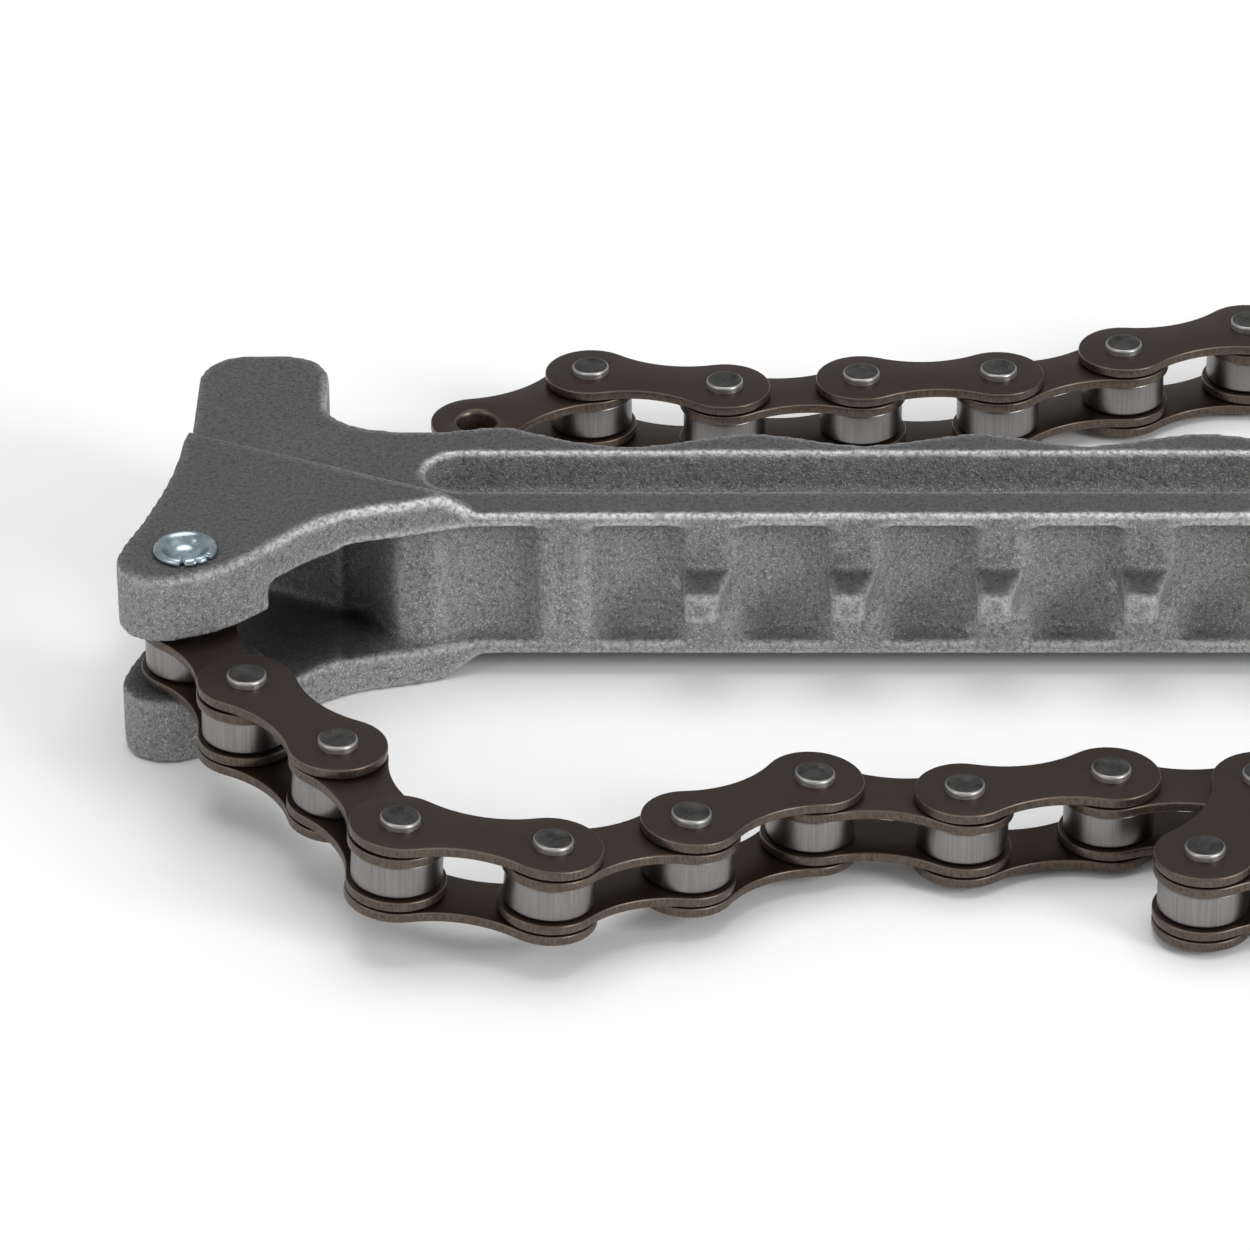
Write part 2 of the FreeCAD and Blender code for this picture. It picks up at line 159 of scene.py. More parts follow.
class ColourSettings(bpy.types.PropertyGroup):
    # The casting's level and upright faces are one cast metal: level faces are painted darker as shade, upright
    # faces lighter as lit.
    casting_shaded_level: FloatVectorProperty(
        name="Casting faces", description="Flat blasted faces", subtype="COLOR",
        default=(0.091, 0.091, 0.094))
    casting_lit_upright: FloatVectorProperty(
        name="Casting sides", description="Grainy sides", subtype="COLOR", default=(0.262, 0.260, 0.260))
    # Bright colour of the worn edges, also used for painted highlights along them and painted glints in the grain.
    casting_wear_and_highlight: FloatVectorProperty(
        name="Casting edges", description="Worn bright edges", subtype="COLOR", default=(0.78, 0.77, 0.77))
    plate: FloatVectorProperty(
        name="Plates", description="Brown chain plates", subtype="COLOR", default=(0.044, 0.030, 0.023))
    plate_edge: FloatVectorProperty(
        name="Plate edges", description="Worn tan plate edges", subtype="COLOR",
        default=(0.125, 0.098, 0.077))
    steel: FloatVectorProperty(
        name="Rollers", description="Satin steel of the rollers", subtype="COLOR",
        default=(0.26, 0.25, 0.245))
    pin_steel: FloatVectorProperty(
        name="Pins", description="Steel of the pins", subtype="COLOR", default=(0.42, 0.41, 0.40))
    zinc: FloatVectorProperty(
        name="Zinc", description="Zinc plate of the rivet", subtype="COLOR", default=(0.46, 0.56, 0.62))
    floor: FloatVectorProperty(
        name="Floor", description="Pale floor and backdrop", subtype="COLOR", default=(0.96, 0.96, 0.96))


# Mesh helpers

# Points nearer than this are one: in a mesh made here, and in a copy of a CAD mesh
SAME_POINT = 1e-7
SAME_CAD_POINT = 1e-6


def new_piece(name, bm, body, material, nodes, smooth_angle=35):
    """Makes the finished piece from a bmesh, hands it to its body and hides the nodes that it stands for."""
    mesh = bpy.data.meshes.new(name)
    bm.to_mesh(mesh)
    bm.free()
    mesh.shade_smooth()
    mesh.set_sharp_from_angle(angle=math.radians(smooth_angle))
    mesh.materials.append(material)
    piece = bpy.data.objects.new(name, mesh)
    bpy.context.scene.collection.objects.link(piece)
    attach(piece, body)
    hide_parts(*nodes)


def ring(bm, centre, radius, z, steps):
    """A circle of edges round a vertical axis."""
    place = Matrix.Translation(Vector((centre.x, centre.y, z)))
    made = bmesh.ops.create_circle(bm, segments=steps, radius=radius, matrix=place)
    return list({e for v in made["verts"] for e in v.link_edges})


def bridge(bm, first, second):
    bmesh.ops.bridge_loops(bm, edges=first + second)


def loft(bm, loops):
    """Joins a row of loops with faces."""
    for first, second in zip(loops, loops[1:]):
        bridge(bm, first, second)


def fill(bm, loops):
    """Fills a flat face between an outer loop and the holes in it."""
    edges = [e for loop in loops for e in loop]
    bmesh.ops.triangle_fill(bm, edges=edges, use_beauty=True)


def finish_normals(bm):
    bmesh.ops.remove_doubles(bm, verts=bm.verts, dist=SAME_POINT)
    bmesh.ops.recalc_face_normals(bm, faces=bm.faces)


def lathe(bm, profile, centre, steps):
    """Spins a profile of radius and height pairs round a vertical axis into a closed solid."""
    verts = [bm.verts.new(centre + Vector((radius, 0, height))) for radius, height in profile]
    edges = [bm.edges.new(pair) for pair in zip(verts, verts[1:])]
    bmesh.ops.spin(
        bm, geom=verts + edges, cent=centre, axis=(0, 0, 1), angle=math.tau, steps=steps, use_merge=True)
    finish_normals(bm)


def rounded_corner(corner, start_turn, radius, steps):
    """Profile points round a quarter circle about the corner's centre, clockwise from a turn in degrees."""
    turns = [math.radians(start_turn - 90 * k / steps) for k in range(steps + 1)]
    return [(corner[0] + radius * math.cos(t), corner[1] + radius * math.sin(t)) for t in turns]


# Chain pieces, made at the origin and then placed on each link

DISH_DEPTH = 0.5 * MM           # round an inner plate's eye
# The dish from its rim to the eye, as shares of its depth: outwards from the eye, and down
DISH_CURVE = ((1, 0), (0.55, 0.16), (0.2, 0.45), (0, 1))
COLLAR_END = 0.2 * MM           # from the link's middle to a collar's end
PIN_RIM = 0.28 * MM             # rounding of a pin's rim
PIN_HOLLOW = 0.09 * MM          # of a pin's end below its rim
PIN_LAND = 0.22 * MM            # width of the level ring inside the rim
ROLLER_SIDE_GAP = 0.08 * MM
ROLLER_EASE = 0.3 * MM          # rounding of a roller's edges
CORNER_STEPS = 4
PIN_STEPS = 36
ROLLER_STEPS = 56


def plate_outline(bm, chain, z, inset):
    """One closed loop of a plate's figure-eight outline, drawn by spinning its last point from arc to arc."""
    half_pitch = chain_pitch() / 2
    half_waist = chain.waist / 2
    lobe = chain.lobe_radius
    flank = (half_pitch ** 2 + half_waist ** 2 - lobe ** 2) / (2 * (lobe - half_waist))
    flank_y = half_waist + flank
    turn = math.atan2(flank_y, half_pitch)
    lobe_turn = math.tau - 2 * turn
    flank_turn = math.pi - 2 * turn
    reach = lobe - inset
    start = bm.verts.new((reach * math.cos(turn), reach * math.sin(turn), z))
    far = 2 * half_pitch
    arcs = [
        ((0, 0), lobe_turn, chain.arc_steps),
        ((half_pitch, -flank_y), -flank_turn, chain.arc_steps // 2),
        ((far, 0), lobe_turn, chain.arc_steps),
        ((half_pitch, flank_y), -flank_turn, chain.arc_steps // 2),
    ]
    last = start
    for centre, angle, steps in arcs:
        made = bmesh.ops.spin(
            bm, geom=[last], cent=(centre[0], centre[1], 0), axis=(0, 0, 1), angle=angle, steps=steps)
        last = [v for v in made["geom_last"] if isinstance(v, bmesh.types.BMVert)][0]
    bmesh.ops.weld_verts(bm, targetmap={last: start})
    return connected_edges(start)


def connected_edges(vert):
    """Every edge that can be reached from a vertex."""
    seen, found, todo = {vert}, set(), [vert]
    while todo:
        for edge in todo.pop().link_edges:
            found.add(edge)
            for other in edge.verts:
                if other not in seen:
                    seen.add(other)
                    todo.append(other)
    return list(found)


def edge_rounding(chain, top, bottom):
    """Inset and height pairs that round a plate's outline, from its top face down to its bottom face."""
    r = chain.edge_radius
    turns = (0, 30, 60, 90)
    upper = [(r - r * math.sin(math.radians(t)), top - r + r * math.cos(math.radians(t))) for t in turns]
    lower = [(inset, bottom + (top - z)) for inset, z in reversed(upper)]
    return upper + lower


def eye_centres():
    return [Vector((0, 0, 0)), Vector((chain_pitch(), 0, 0))]


def outer_plate_bmesh(chain, bottom):
    """A plain plate with a hole for each pin."""
    bm = bmesh.new()
    top = bottom + chain.plate_thickness
    loops = [plate_outline(bm, chain, z, inset) for inset, z in edge_rounding(chain, top, bottom)]
    loft(bm, loops)
    holes = []
    for centre in eye_centres():
        upper = ring(bm, centre, chain.pin_radius, top, 2 * chain.arc_steps)
        lower = ring(bm, centre, chain.pin_radius, bottom, 2 * chain.arc_steps)
        bridge(bm, upper, lower)
        holes.append((upper, lower))
    fill(bm, [loops[0]] + [h[0] for h in holes])
    fill(bm, [loops[-1]] + [h[1] for h in holes])
    finish_normals(bm)
    return bm


def inner_plate_bmesh(chain):
    """The upper inner plate: dished at each eye, with a collar that reaches down to the link's middle."""
    bm = bmesh.new()
    bottom = chain.inner_width / 2
    top = bottom + chain.plate_thickness
    loops = [plate_outline(bm, chain, z, inset) for inset, z in edge_rounding(chain, top, bottom)]
    loft(bm, loops)
    eye = chain.pin_radius + chain.bore_gap
    collar = eye + chain.collar_wall
    rims = [(eye + out * DISH_DEPTH, top - down * DISH_DEPTH) for out, down in DISH_CURVE]
    rims += [(eye, COLLAR_END), (collar, COLLAR_END), (collar, bottom)]
    mouths = []
    for centre in eye_centres():
        made = [ring(bm, centre, radius, z, 2 * chain.arc_steps) for radius, z in rims]
        loft(bm, made)
        mouths.append((made[0], made[-1]))
    fill(bm, [loops[0]] + [m[0] for m in mouths])
    fill(bm, [loops[-1]] + [m[1] for m in mouths])
    finish_normals(bm)
    return bm


def add_mirror(bm):
    """Adds the same shape below the link's middle plane."""
    made = bmesh.ops.duplicate(bm, geom=bm.verts[:] + bm.edges[:] + bm.faces[:])
    verts = [v for v in made["geom"] if isinstance(v, bmesh.types.BMVert)]
    bmesh.ops.scale(bm, vec=(1, 1, -1), verts=verts)
    bmesh.ops.recalc_face_normals(bm, faces=bm.faces)


def inner_plates_bmesh(chain):
    bm = inner_plate_bmesh(chain)
    add_mirror(bm)
    return bm


def outer_plates_bmesh(chain):
    low = chain.inner_width / 2 + chain.plate_thickness + chain.side_gap
    bm = outer_plate_bmesh(chain, low)
    add_mirror(bm)
    return bm


def pins_bmesh(chain):
    """Two pins, each with a rounded rim and a slightly hollow end."""
    bm = bmesh.new()
    half = chain.inner_width / 2 + 2 * chain.plate_thickness + chain.side_gap + chain.pin_proud
    rim = chain.pin_radius - PIN_RIM
    end = [
        (0, half - PIN_HOLLOW),
        (0.5 * chain.pin_radius, half - 0.8 * PIN_HOLLOW),
        (rim - PIN_LAND, half),
    ]
    end += rounded_corner((rim, half - PIN_RIM), 90, PIN_RIM, CORNER_STEPS)
    profile = end + [(r, -z) for r, z in reversed(end)]
    for centre in eye_centres():
        lathe(bm, profile, centre, PIN_STEPS)
    return bm


def rollers_bmesh(chain):
    """Two rollers, each a short tube with eased edges."""
    bm = bmesh.new()
    half = chain.inner_width / 2 - ROLLER_SIDE_GAP
    bore = chain.pin_radius + chain.bore_gap + chain.collar_wall + chain.bore_gap
    ease = ROLLER_EASE
    upper = [(bore, half - ease / 2), (bore + ease / 2, half)]
    upper += rounded_corner((chain.roller_radius - ease, half - ease), 90, ease, CORNER_STEPS)
    profile = upper + [(r, -z) for r, z in reversed(upper)] + [upper[0]]
    for centre in eye_centres():
        lathe(bm, profile, centre, ROLLER_STEPS)
    return bm


def place_on_links(template, parity, part, material):
    """Puts a copy of a template on every other link, with its place in the mesh."""
    for n in range(parity, link_count(), 2):
        bm = template.copy()
        bmesh.ops.transform(bm, matrix=link_matrix(n), verts=bm.verts)
        node = f"{link_name(n)}_{part}"
        new_piece(node + "_dressed", bm, link_name(n), material, [node])
    template.free()


# Materials


def new_material(name):
    material = bpy.data.materials.new(name)
    material.use_nodes = True
    nodes = material.node_tree.nodes
    return material, nodes, material.node_tree.links, nodes["Principled BSDF"]


def object_point(nodes, links, scale=(1, 1, 1)):
    """The place on the piece, in its own coordinates, stretched by a scale."""
    coords = nodes.new("ShaderNodeTexCoord")
    mapping = nodes.new("ShaderNodeMapping")
    mapping.inputs["Scale"].default_value = scale
    links.new(coords.outputs["Object"], mapping.inputs["Vector"])
    return mapping.outputs["Vector"]


def noise_at(nodes, links, point, scale, detail=3.0, roughness=0.5):
    texture = nodes.new("ShaderNodeTexNoise")
    texture.inputs["Scale"].default_value = scale
    texture.inputs["Detail"].default_value = detail
    texture.inputs["Roughness"].default_value = roughness
    links.new(point, texture.inputs["Vector"])
    return texture.outputs["Fac"]


def remap(nodes, links, value, low, high, to_low=0.0, to_high=1.0):
    node = nodes.new("ShaderNodeMapRange")
    for name, number in (("From Min", low), ("From Max", high), ("To Min", to_low), ("To Max", to_high)):
        node.inputs[name].default_value = number
    links.new(value, node.inputs["Value"])
    return node.outputs["Result"]


def mix_colour(nodes, links, factor, first, second):
    node = nodes.new("ShaderNodeMix")
    node.data_type = "RGBA"
    links.new(factor, node.inputs["Factor"])
    for socket, value in ((node.inputs["A"], first), (node.inputs["B"], second)):
        if isinstance(value, bpy.types.NodeSocket):
            links.new(value, socket)
        else:
            socket.default_value = (*value, 1)
    return node.outputs["Result"]


def combine(nodes, links, kind, first, second):
    node = nodes.new("ShaderNodeMath")
    node.operation = kind
    for socket, value in zip(node.inputs, (first, second)):
        if isinstance(value, bpy.types.NodeSocket):
            links.new(value, socket)
        else:
            socket.default_value = value
    return node.outputs["Value"]


def product(nodes, links, first, *others):
    for other in others:
        first = combine(nodes, links, "MULTIPLY", first, other)
    return first


def scale_colour(nodes, links, colour, share):
    node = nodes.new("ShaderNodeVectorMath")
    node.operation = "SCALE"
    links.new(colour, node.inputs[0])
    links.new(share, node.inputs["Scale"])
    return node.outputs["Vector"]


def split_vector(nodes, links, vector):
    """The X, Y and Z of a place or a direction."""
    node = nodes.new("ShaderNodeSeparateXYZ")
    links.new(vector, node.inputs["Vector"])
    return node.outputs


def steepness(nodes, links):
    """0 on level faces and 1 on upright ones."""
    geometry = nodes.new("ShaderNodeNewGeometry")
    normal = split_vector(nodes, links, geometry.outputs["Normal"])
    level = combine(nodes, links, "ABSOLUTE", normal["Z"], 0)
    return combine(nodes, links, "SUBTRACT", 1.0, level)


def paint_recess_shade(nodes, links, colour, reach, amount):
    """Paints shade into a colour: darkens it by up to the amount where the piece's own walls close it in."""
    shelter = nodes.new("ShaderNodeAmbientOcclusion")
    shelter.only_local = True
    shelter.samples = 8
    shelter.inputs["Distance"].default_value = reach
    closed_in = remap(nodes, links, shelter.outputs["AO"], 0.25, 0.65, 1.0, 0.0)
    lost = product(nodes, links, closed_in, amount)
    kept = combine(nodes, links, "SUBTRACT", 1.0, lost)
    return scale_colour(nodes, links, colour, kept)


def bump(nodes, links, height, shader, strength, distance):
    node = nodes.new("ShaderNodeBump")
    node.inputs["Strength"].default_value = strength
    node.inputs["Distance"].default_value = distance
    links.new(height, node.inputs["Height"])
    links.new(node.outputs["Normal"], shader.inputs["Normal"])


# Where the casting's colour changes, from one place to the other: its painted shade, its faces painted as lit, and
# its worn and highlit edges
THROAT_END_X = (14 * MM, 20 * MM)
EAR_TO_HEAD_X = (-2 * MM, 16 * MM)
LOWER_FLANGE_TOP_Z = (2.9 * MM, 3.2 * MM)
MIDDLE_Z = (8 * MM, 9 * MM)
UPPER_FLANGE_Z = (14.6 * MM, 15.6 * MM)
# Painted shade in recesses: from how far away walls darken a place, and how much they do so at most
RECESS_SHADE_REACH = 14 * MM
THROAT_PAINTED_SHADE = 0.88
WEB_PAINTED_SHADE = 0.22


def web_foot_painted_lit(nodes, links, place):
    """How far the lower flange's inner face along the web is painted as lit as the web is. 0 elsewhere."""
    along_web = remap(nodes, links, place["X"], *THROAT_END_X, 0.0, 0.65)
    under_middle = remap(nodes, links, place["Z"], *MIDDLE_Z, 1.0, 0.0)
    above_foot = remap(nodes, links, place["Z"], *LOWER_FLANGE_TOP_Z)
    return product(nodes, links, along_web, under_middle, above_foot)


def worn_and_highlit_edges(nodes, links, place, coarse):
    """How far an edge is painted bright, partly as wear and partly as a painted highlight: most at the top on the
    near side, and least at the ears.
    """
    geometry = nodes.new("ShaderNodeNewGeometry")
    sharp = remap(nodes, links, geometry.outputs["Pointiness"], 0.502, 0.525)
    normal = split_vector(nodes, links, geometry.outputs["Normal"])
    near_side = remap(nodes, links, normal["Y"], -0.4, 0.1, 1.0, 0.25)
    upper = remap(nodes, links, place["Z"], *UPPER_FLANGE_Z, 0.35, 1.0)
    past_ears = remap(nodes, links, place["X"], *EAR_TO_HEAD_X, 0.2, 1.0)
    broken = remap(nodes, links, coarse, 0.38, 0.6, 0.35, 1.0)
    return product(nodes, links, sharp, near_side, upper, past_ears, broken)


def casting_material(colours):
    """Blasted cast metal: level faces painted dark as shaded, upright faces painted lighter as lit, grain painted
    as bright glints, painted shade in recesses, and worn edges with painted highlights.
    """
    material, nodes, links, shader = new_material("cast_grey")
    point = object_point(nodes, links)
    place = split_vector(nodes, links, point)
    grain = noise_at(nodes, links, point, scale=6200, roughness=0.6)
    coarse = noise_at(nodes, links, point, scale=2400, roughness=0.6)
    cloud = noise_at(nodes, links, point, scale=90)
    # Painted light: level faces take the shaded colour and upright faces the lit one.
    upright = remap(nodes, links, steepness(nodes, links), 0.10, 0.60)
    painted_lit_share = combine(nodes, links, "MAXIMUM", upright, web_foot_painted_lit(nodes, links, place))
    colour = mix_colour(nodes, links, painted_lit_share, colours.casting_shaded_level, colours.casting_lit_upright)
    # Grain painted as bright glints, more of them on the faces painted as lit.
    glint_fleck = remap(nodes, links, grain, 0.54, 0.66)
    glint_fleck_amount = product(nodes, links, glint_fleck, remap(nodes, links, painted_lit_share, 0, 1, 0.12, 0.60))
    colour = mix_colour(nodes, links, glint_fleck_amount, colour, colours.casting_wear_and_highlight)
    pitted = remap(nodes, links, coarse, 0.34, 0.52, 0.55, 1.0)
    clouded = remap(nodes, links, cloud, 0.3, 0.7, 0.92, 1.08)
    colour = scale_colour(nodes, links, colour, product(nodes, links, pitted, clouded))
    # Worn edges, brightened further as a painted highlight on the upper near-side edges.
    bright_edge = worn_and_highlit_edges(nodes, links, place, coarse)
    colour = mix_colour(nodes, links, bright_edge, colour, colours.casting_wear_and_highlight)
    # Painted shade where the casting's own walls close a place in: deepest in the throat, lighter along the web.
    recess_shade = remap(nodes, links, place["X"], *THROAT_END_X, THROAT_PAINTED_SHADE, WEB_PAINTED_SHADE)
    colour = paint_recess_shade(nodes, links, colour, reach=RECESS_SHADE_REACH, amount=recess_shade)
    links.new(colour, shader.inputs["Base Color"])
    links.new(remap(nodes, links, grain, 0.3, 0.7, 0.70, 0.50), shader.inputs["Roughness"])
    shader.inputs["Metallic"].default_value = 0.35
    height = combine(nodes, links, "ADD", grain, coarse)
    bump(nodes, links, height, shader, strength=0.8, distance=0.18 * MM)
    return material


def plate_material(colours):
    """Brown finished chain plate with tan sheared sides and a thin light line along each edge."""
    material, nodes, links, shader = new_material("brown_plate")
    point = object_point(nodes, links)
    upright = steepness(nodes, links)
    smudge = noise_at(nodes, links, point, scale=160, detail=4, roughness=0.6)
    fine = noise_at(nodes, links, point, scale=1800, roughness=0.6)
    streak = noise_at(nodes, links, object_point(nodes, links, (5200, 5200, 1800)), scale=1, roughness=0.6)
    dark_side = tuple(0.55 * c for c in colours.plate_edge)
    side = mix_colour(nodes, links, remap(nodes, links, streak, 0.36, 0.62), dark_side, colours.plate_edge)
    rim = remap(nodes, links, upright, 0.12, 0.5)
    colour = mix_colour(nodes, links, rim, colours.plate, side)
    light = tuple(1.7 * c for c in colours.plate_edge)
    rising = remap(nodes, links, upright, 0.08, 0.3)
    falling = remap(nodes, links, upright, 0.4, 0.9, 1.0, 0.0)
    broken = remap(nodes, links, smudge, 0.35, 0.62, 0.15, 0.85)
    bright_edge = product(nodes, links, rising, falling, broken)
    colour = mix_colour(nodes, links, bright_edge, colour, light)
    # Painted shade in the eyes, collars and gaps, where the plates' own walls close them in.
    colour = paint_recess_shade(nodes, links, colour, reach=2 * MM, amount=0.85)
    links.new(colour, shader.inputs["Base Color"])
    links.new(remap(nodes, links, smudge, 0.3, 0.7, 0.30, 0.46), shader.inputs["Roughness"])
    shader.inputs["Metallic"].default_value = 0.75
    bump(nodes, links, fine, shader, strength=0.25, distance=0.04 * MM)
    return material


def roller_material(colours):
    """Satin steel with fine upright lines."""
    material, nodes, links, shader = new_material("roller_steel")
    lines = noise_at(nodes, links, object_point(nodes, links, (7500, 7500, 150)), scale=1, roughness=0.6)
    cloud = noise_at(nodes, links, object_point(nodes, links), scale=420, detail=2)
    dark = tuple(0.78 * c for c in colours.steel)
    colour = mix_colour(nodes, links, remap(nodes, links, lines, 0.35, 0.65), dark, colours.steel)
    links.new(colour, shader.inputs["Base Color"])
    links.new(remap(nodes, links, cloud, 0.3, 0.7, 0.30, 0.40), shader.inputs["Roughness"])
    shader.inputs["Metallic"].default_value = 1.0
    bump(nodes, links, lines, shader, strength=0.15, distance=0.02 * MM)
    return material


def pin_material(colours):
    """Grey steel pin, with a darker flat end inside a bright rim."""
    material, nodes, links, shader = new_material("pin_steel")
    point = object_point(nodes, links)
    blotch = noise_at(nodes, links, point, scale=900, roughness=0.6)
    upright = remap(nodes, links, steepness(nodes, links), 0.02, 0.2)
    flat = remap(nodes, links, blotch, 0.35, 0.65, 0.09, 0.21)
    shade = combine(nodes, links, "MAXIMUM", flat, upright)
    colour = mix_colour(nodes, links, shade, (0, 0, 0), colours.pin_steel)
    links.new(colour, shader.inputs["Base Color"])
    links.new(remap(nodes, links, blotch, 0.3, 0.7, 0.30, 0.48), shader.inputs["Roughness"])
    shader.inputs["Metallic"].default_value = 0.9
    bump(nodes, links, blotch, shader, strength=0.3, distance=0.05 * MM)
    return material


def zinc_material(colours):
    """Bright bluish zinc plate."""
    material, nodes, links, shader = new_material("zinc_plate")
    point = object_point(nodes, links)
    blotch = noise_at(nodes, links, point, scale=700, roughness=0.6)
    dark = tuple(0.6 * c for c in colours.zinc)
    colour = mix_colour(nodes, links, remap(nodes, links, blotch, 0.35, 0.65), dark, colours.zinc)
    links.new(colour, shader.inputs["Base Color"])
    links.new(remap(nodes, links, blotch, 0.3, 0.7, 0.20, 0.32), shader.inputs["Roughness"])
    shader.inputs["Metallic"].default_value = 1.0
    bump(nodes, links, blotch, shader, strength=0.25, distance=0.06 * MM)
    return material


# Operators


class WRENCH_OT_casting(bpy.types.Operator):
    """Remesh the casting, soften its edges and give it a blasted grey finish"""

    bl_idname = "wrench.casting"
    bl_label = "Handle casting"

    SMOOTH_SHARE = 0.5
    SLOW_LUMPS = 220           # lumps in a metre
    QUICK_LUMPS = 900
    SLOW_SHARE = 0.6
    SINK = 0.6                 # keeps nearly all lumps inside the CAD surface

    def execute(self, context):
        settings = context.scene.wrench_casting
        source = frame["nodes"]["handle_casting"]
        mesh = source.data.copy()
        piece = bpy.data.objects.new("handle_casting_dressed", mesh)
        context.scene.collection.objects.link(piece)
        bm = bmesh.new()
        bm.from_mesh(mesh)
        bmesh.ops.remove_doubles(bm, verts=bm.verts, dist=SAME_CAD_POINT)
        bm.to_mesh(mesh)
        bm.free()
        remesh = piece.modifiers.new("surface", "REMESH")
        remesh.mode = "VOXEL"
        remesh.voxel_size = settings.voxel
        graph = context.evaluated_depsgraph_get()
        skin = bpy.data.meshes.new_from_object(piece.evaluated_get(graph))
        if not skin.polygons:
            raise RuntimeError("The remeshed casting has no faces: the voxel size is too large.")
        piece.modifiers.clear()
        bm = bmesh.new()
        bm.from_mesh(skin)
        for _ in range(settings.soften):
            bmesh.ops.smooth_vert(
                bm, verts=bm.verts, factor=self.SMOOTH_SHARE,
                use_axis_x=True, use_axis_y=True, use_axis_z=True)
        bm.normal_update()
        for vert in bm.verts:
            slow = noise.noise(vert.co * self.SLOW_LUMPS)
            quick = noise.noise(vert.co * self.QUICK_LUMPS)
            lump = self.SLOW_SHARE * slow + (1 - self.SLOW_SHARE) * quick - self.SINK
            vert.co += vert.normal * settings.lump * lump
        bm.to_mesh(piece.data)
        bm.free()
        bpy.data.meshes.remove(skin)
        piece.data.shade_smooth()
        piece.data.materials.clear()
        piece.data.materials.append(casting_material(context.scene.wrench_colours))
        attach(piece, "handle")
        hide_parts("handle_casting")
        return {"FINISHED"}


class WRENCH_OT_rivet(bpy.types.Operator):
    """Turn the ear rivet with its rolled, slightly split mouth"""

    bl_idname = "wrench.rivet"
    bl_label = "Ear rivet"

    MOUTH_RISE = 0.6 * MM      # of the flared mouth above the ear
    HEAD_DEPTH = 0.9 * MM
    HEAD_EASE = 0.15 * MM
    SHANK_RADIUS = 1.7 * MM
    STEPS = 144
    SMOOTH_ANGLE = 50
    # The flared mouth from its middle outwards: shares of the head's radius, and millimetres below the rim
    DISH = (
        (0, 1.08), (0.30, 1.06), (0.44, 0.96), (0.54, 0.74), (0.62, 0.46), (0.70, 0.22), (0.78, 0.06),
        (0.84, 0), (0.90, 0.04), (0.96, 0.16), (1.0, 0.34), (0.99, 0.46), (0.93, 0.54), (0.80, 0.58),
    )
    # Where the rim split as it was flared: degrees round it, and how many millimetres deep
    SPLITS = ((-92, 0.55), (-62, 0.3), (-38, 0.55), (14, 0.25), (158, 0.3))
    SPLIT_HALF_WIDTH = 5       # degrees
    SPLIT_START = 0.75         # share of the head's radius
    SPLIT_SAG = 0.3            # how far a split's lips sink, as a share of how far they pull in

    def execute(self, context):
        low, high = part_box("ear_rivet")
        centre = (low + high) / 2
        axis = Vector((centre.x, centre.y, 0))
        head_r = (high.x - low.x) / 2
        seat = high.z - self.MOUTH_RISE
        head_top = low.z + self.HEAD_DEPTH
        profile = [(share * head_r, high.z - depth * MM) for share, depth in self.DISH]
        profile += [
            (self.SHANK_RADIUS, seat), (self.SHANK_RADIUS, head_top), (head_r, head_top),
            (head_r, low.z + self.HEAD_EASE), (head_r - self.HEAD_EASE, low.z), (0, low.z),
        ]
        bm = bmesh.new()
        lathe(bm, profile, axis, self.STEPS)
        for vert in bm.verts:
            self.split_rim(vert, axis, seat, head_r)
        material = zinc_material(context.scene.wrench_colours)
        new_piece(
            "ear_rivet_dressed", bm, "handle", material, ["ear_rivet"], self.SMOOTH_ANGLE)
        return {"FINISHED"}

    def split_rim(self, vert, axis, seat, head_r):
        """Pulls the rolled rim in and down where the metal split as it was flared."""
        out = vert.co - axis
        radius = math.hypot(out.x, out.y)
        start = self.SPLIT_START * head_r
        if vert.co.z < seat or radius < start:
            return
        turn = math.degrees(math.atan2(out.y, out.x))
        share = (radius - start) / (head_r - start)
        for at, depth in self.SPLITS:
            near = max(0.0, 1 - abs((turn - at + 180) % 360 - 180) / self.SPLIT_HALF_WIDTH)
            pull = near * depth * share * MM
            vert.co.x -= out.x / radius * pull
            vert.co.y -= out.y / radius * pull
            vert.co.z -= self.SPLIT_SAG * pull


class WRENCH_OT_inner_plates(bpy.types.Operator):
    """Make the inner plates with their collars on every inner link"""

    bl_idname = "wrench.inner_plates"
    bl_label = "Inner plates"

    def execute(self, context):
        template = inner_plates_bmesh(context.scene.wrench_chain)
        place_on_links(template, 0, "inner_plates", shared_material("brown_plate"))
        return {"FINISHED"}


class WRENCH_OT_outer_plates(bpy.types.Operator):
    """Make the outer plates on every outer link"""

    bl_idname = "wrench.outer_plates"
    bl_label = "Outer plates"

    def execute(self, context):
        template = outer_plates_bmesh(context.scene.wrench_chain)
        place_on_links(template, 1, "outer_plates", shared_material("brown_plate"))
        return {"FINISHED"}


class WRENCH_OT_rollers(bpy.types.Operator):
    """Make the rollers of every inner link"""

    bl_idname = "wrench.rollers"
    bl_label = "Rollers"

    def execute(self, context):
        template = rollers_bmesh(context.scene.wrench_chain)
        place_on_links(template, 0, "rollers", shared_material("roller_steel"))
        return {"FINISHED"}


class WRENCH_OT_pins(bpy.types.Operator):
    """Make the pins of every outer link"""

    bl_idname = "wrench.pins"
    bl_label = "Pins"

    def execute(self, context):
        template = pins_bmesh(context.scene.wrench_chain)
        place_on_links(template, 1, "pins", shared_material("pin_steel"))
        return {"FINISHED"}


